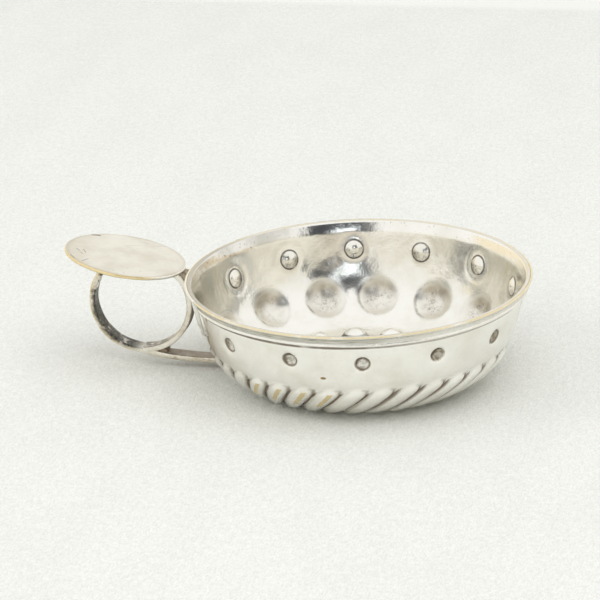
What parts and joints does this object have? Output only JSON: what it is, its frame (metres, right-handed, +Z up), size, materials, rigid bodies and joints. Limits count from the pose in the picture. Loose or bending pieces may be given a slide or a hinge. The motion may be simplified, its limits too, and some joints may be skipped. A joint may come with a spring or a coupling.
{
  "type": "wine tasting cup",
  "caption": "Shallow round tasting cup of silver-plated sheet, chased with gadroons, cupules and pips, with a finger ring and an oval thumb plate.",
  "frame": {"origin": "on the bowl's axis, in the plane of the flat foot that stands on the table", "axes": "+Z up along the bowl's axis, -X towards the finger ring and the thumb plate"},
  "size_m": [0.1105, 0.08, 0.0299],
  "materials": {
    "silver_plate": "polished silver plate over brass, tarnished in the hollows and worn to brass at the edges",
    "worn_plate": "silver plate over brass, dulled and browned by handling",
    "solder": "rough grey-brown solder"
  },
  "bodies": {
    "root": {"bowl": "silver_plate", "rim_wire": "silver_plate", "wall_shield": "silver_plate", "handle_strap": "worn_plate", "thumb_plate": "silver_plate", "lip_solder": "solder", "lap_solder": "solder", "tail_solder": "solder", "plate_solder_near": "solder", "plate_solder_far": "solder"}
  },
  "joints": []
}
